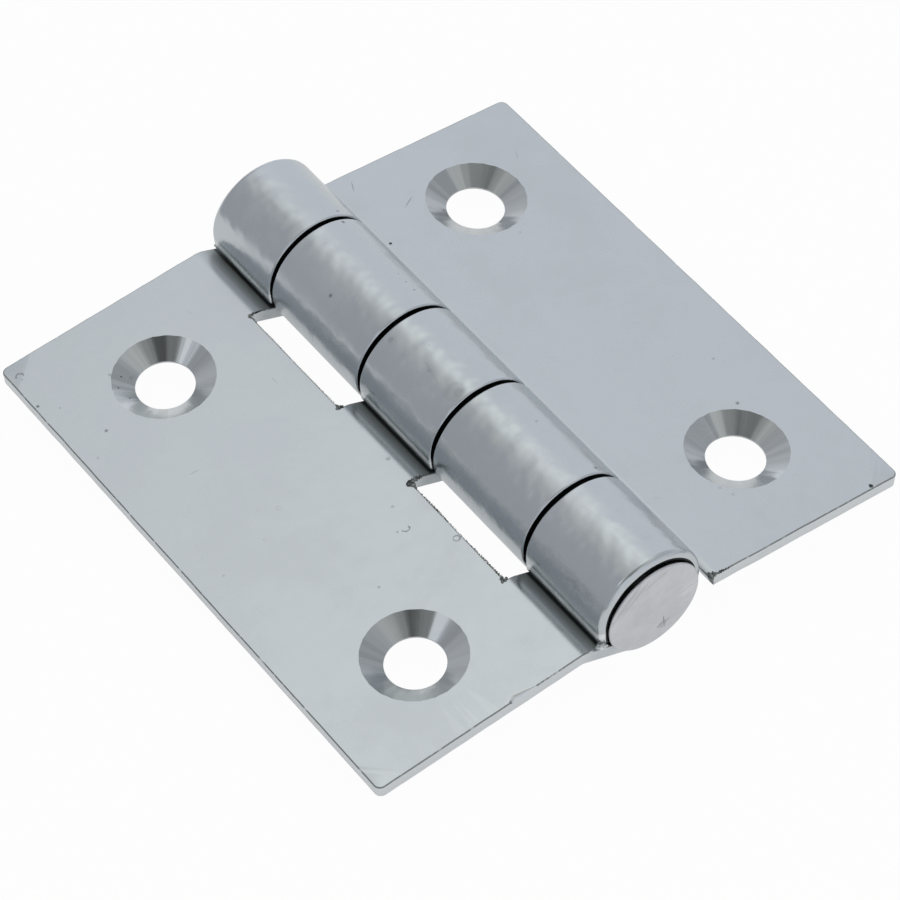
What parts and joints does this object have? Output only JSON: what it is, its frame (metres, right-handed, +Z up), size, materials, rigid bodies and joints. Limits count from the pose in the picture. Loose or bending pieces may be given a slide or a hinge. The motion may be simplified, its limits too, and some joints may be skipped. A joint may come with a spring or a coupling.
{
  "type": "rolled knuckle butt hinge",
  "caption": "Pressed steel butt hinge lying open, with rolled knuckles, a staked pin and countersunk screw holes in both leaves.",
  "frame": {"origin": "middle of the base of the bounding box, with the rolled knuckles standing on the ground at z = 0", "axes": "+Y along the pin towards the far end knuckle, +X towards the leaf with two knuckles, +Z up out of the countersunk faces"},
  "size_m": [0.0494, 0.0506, 0.0096],
  "materials": {
    "leaf_zinc": "zinc plated sheet, semi-gloss, bluish grey",
    "pin_zinc": "zinc plated wire, semi-gloss"
  },
  "bodies": {
    "wide_leaf": {"leaf_three_knuckle": "leaf_zinc", "hinge_pin": "pin_zinc"},
    "narrow_leaf": {"leaf_two_knuckle": "leaf_zinc"}
  },
  "joints": [
    {"name": "leaf_turn", "type": "hinge", "parent": "wide_leaf", "child": "narrow_leaf", "pos_m": [0.00032, 0, 0.0048], "axis": [0, -1, 0], "range_deg": [-124, 192.5]}
  ]
}
